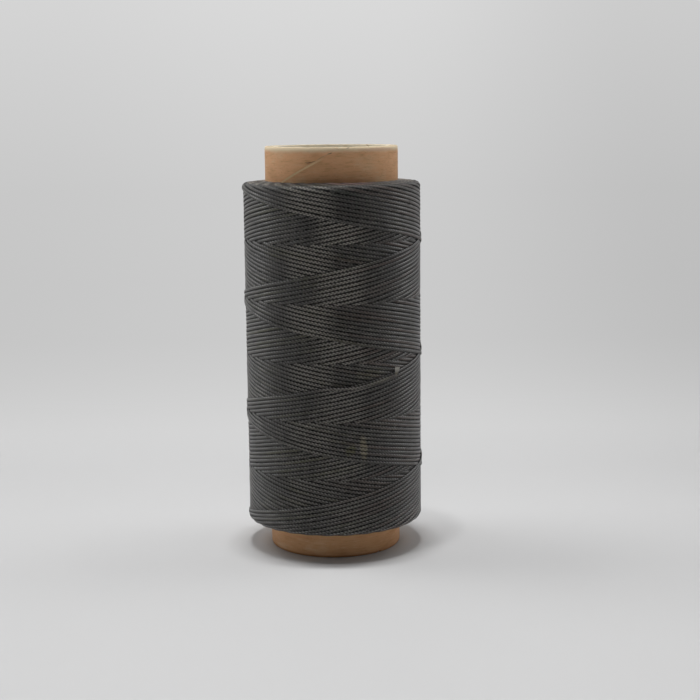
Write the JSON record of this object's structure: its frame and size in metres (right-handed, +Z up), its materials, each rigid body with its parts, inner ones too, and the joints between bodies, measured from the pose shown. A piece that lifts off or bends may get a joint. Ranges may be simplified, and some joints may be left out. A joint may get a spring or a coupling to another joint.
{
  "type": "waxed thread spool",
  "caption": "Flat waxed thread, cross-wound on a spiral paper tube with bare ends and a through bore for a spindle.",
  "frame": {"origin": "centre of the tube's lower end, on the surface that the spool stands on", "axes": "+Z up along the tube's bore; -Y towards the side where the thread's loose end shows; +X to the right of that side"},
  "size_m": [0.051, 0.051, 0.116],
  "materials": {
    "liner_paper": "matte, uncoated",
    "core_board": "matte, cut edge",
    "kraft_paper": "matte with a faint calendered sheen",
    "waxed_thread": "satin wax over a flat braid",
    "waxed_thread_end": "frayed, pale with wax"
  },
  "bodies": {
    "root": {"liner_ply": "liner_paper", "core_ply_1": "core_board", "core_ply_2": "core_board", "core_ply_3": "core_board", "core_ply_4": "core_board", "outer_ply": "kraft_paper", "thread_inner_windings": "waxed_thread", "thread_outer_winding": "waxed_thread", "thread_loose_end": "waxed_thread_end"}
  },
  "joints": []
}
